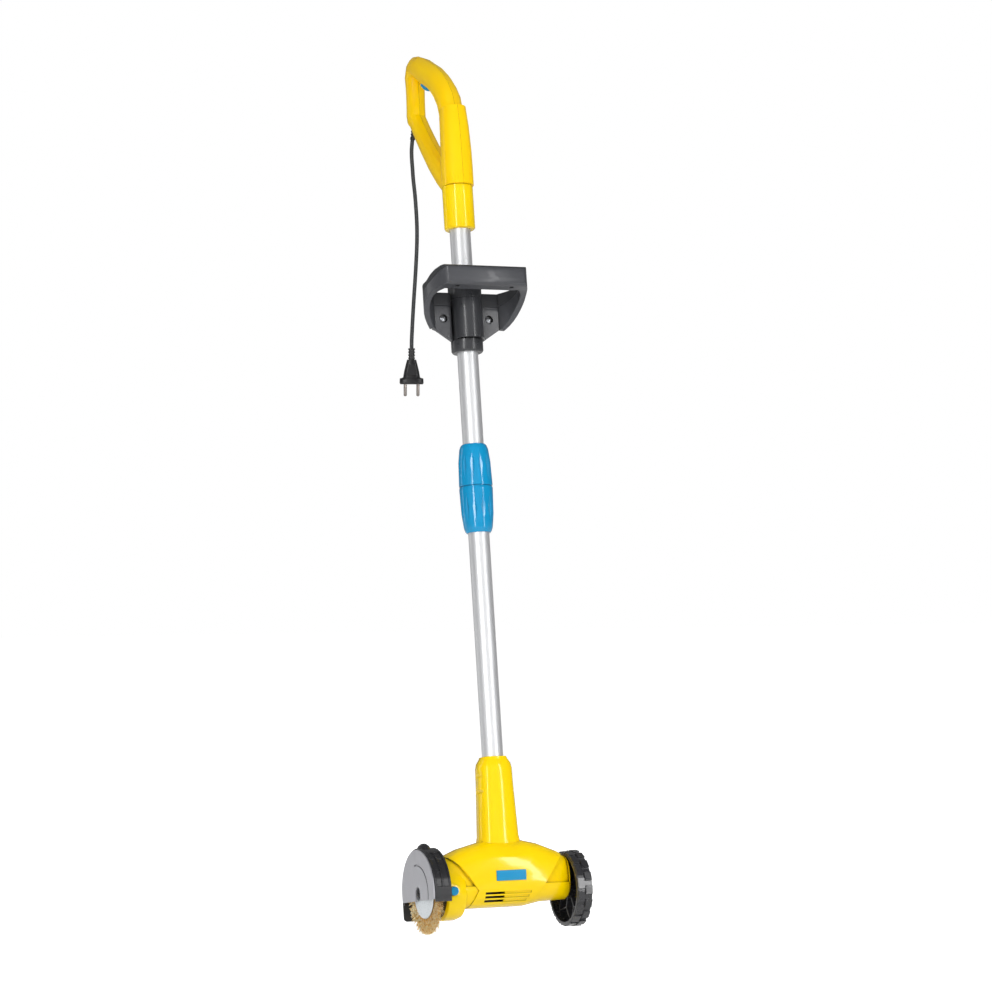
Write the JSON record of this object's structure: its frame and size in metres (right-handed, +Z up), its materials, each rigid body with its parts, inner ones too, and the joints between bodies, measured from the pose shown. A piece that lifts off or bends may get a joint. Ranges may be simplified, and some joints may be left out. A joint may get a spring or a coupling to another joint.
{
  "type": "electric joint brush",
  "caption": "Long-handled electric joint brush: angled D-shaped grip, bow-shaped front handle, twist-locked tubes, guarded wire brush on one side, plain wheel on the other, cord with plug.",
  "frame": {"origin": "centre of the main grip that the hand holds, with the tool leaning as in use", "axes": "+Z up, -Y towards the side that the front handle and the brush face, +X towards the wheel"},
  "size_m": [0.2439, 0.4143, 1.2593],
  "materials": {
    "yellow_shell": "glossy moulded plastic",
    "blue_plastic": "glossy moulded plastic",
    "grip_plastic": "finely textured moulded plastic",
    "inner_plastic": "plain moulded plastic",
    "tube": "satin anodised",
    "steel": "brushed, zinc plated",
    "bristles": "crimped wire",
    "winding": "lacquered copper wire",
    "wheel_plastic": "moulded, hard",
    "cord_rubber": "satin sheath",
    "flap_rubber": "soft, matte"
  },
  "bodies": {
    "handle": {"handle_half_left": "yellow_shell", "handle_half_right": "yellow_shell", "handle_screw_1": "steel", "handle_screw_2": "steel", "handle_screw_3": "steel", "handle_collar": "yellow_shell", "upper_tube": "tube", "trigger_pin": "steel", "switch_unit": "inner_plastic", "strain_relief": "cord_rubber", "mains_cord": "cord_rubber", "plug_body": "cord_rubber", "plug_pin_left": "steel", "plug_pin_right": "steel", "lock_collet": "inner_plastic"},
    "trigger": {"trigger": "blue_plastic"},
    "second_handle": {"aux_grip_lower": "grip_plastic", "aux_grip_upper": "grip_plastic", "aux_clamp_front": "grip_plastic", "aux_clamp_rear": "grip_plastic", "aux_bolt_left": "steel", "aux_bolt_right": "steel", "aux_nut_left": "steel", "aux_nut_right": "steel", "aux_screw_left": "steel", "aux_screw_right": "steel"},
    "twist_sleeve": {"lock_sleeve": "blue_plastic"},
    "lower_pole": {"lower_sleeve": "blue_plastic", "inner_tube": "tube", "lower_tube": "tube", "housing_front": "yellow_shell", "housing_rear": "yellow_shell", "housing_screw_1": "steel", "housing_screw_2": "steel", "housing_screw_3": "steel", "front_plate": "blue_plastic", "end_cap": "yellow_shell", "stator": "steel", "motor_bearing_left": "steel", "motor_bearing_right": "steel", "spindle_bearing_outer": "steel", "spindle_bearing_inner": "steel", "guard_cover": "grip_plastic", "guard_plate": "steel", "guard_flap": "flap_rubber", "flap_screw": "steel", "wheel_axle": "steel"},
    "brush": {"bristle_ring_1": "bristles", "bristle_ring_2": "bristles", "brush_hub_outer": "steel", "brush_hub_inner": "steel", "brush_core": "inner_plastic", "spindle": "steel", "spindle_gear": "steel", "brush_bolt": "steel"},
    "rotor": {"motor_shaft": "steel", "armature": "winding", "cooling_fan": "inner_plastic"},
    "wheel": {"wheel": "wheel_plastic"},
    "spindle_button": {"lock_button": "blue_plastic"}
  },
  "joints": [
    {"name": "trigger_press", "type": "hinge", "parent": "handle", "child": "trigger", "pos_m": [0, -0.04324, -0.0295], "axis": [1, 0, 0], "range_deg": [0, 6], "stiffness_Nm_per_rad": 0.5, "springref_deg": -8.59},
    {"name": "second_handle_slide", "type": "slide", "parent": "handle", "child": "second_handle", "axis": [0, 0.159, 0.9873], "range_m": [-0.12, 0.07]},
    {"name": "lock_twist", "type": "hinge", "parent": "handle", "child": "twist_sleeve", "pos_m": [0, -0.19162, -0.58598], "axis": [0, 0.159, 0.9873], "range_deg": [0, 90]},
    {"name": "pole_slide", "type": "slide", "parent": "handle", "child": "lower_pole", "axis": [0, -0.159, -0.9873], "range_m": [0, 0.15]},
    {"name": "brush_spin", "type": "hinge", "parent": "lower_pole", "child": "brush", "pos_m": [-0.11, -0.28672, -1.17638], "axis": [1, 0, 0], "continuous": true},
    {"name": "rotor_spin", "type": "hinge", "parent": "lower_pole", "child": "rotor", "pos_m": [0, -0.28214, -1.14795], "axis": [1, 0, 0], "continuous": true},
    {"name": "wheel_roll", "type": "hinge", "parent": "lower_pole", "child": "wheel", "pos_m": [0.105, -0.2872, -1.17934], "axis": [1, 0, 0], "continuous": true},
    {"name": "button_press", "type": "slide", "parent": "lower_pole", "child": "spindle_button", "axis": [0, 0.9873, -0.159], "range_m": [0, 0.003], "stiffness_N_per_m": 400, "springref_m": -0.002}
  ],
  "couplings": [
    {"joint": "rotor_spin", "follows": "brush_spin", "ratio": -3.8}
  ]
}
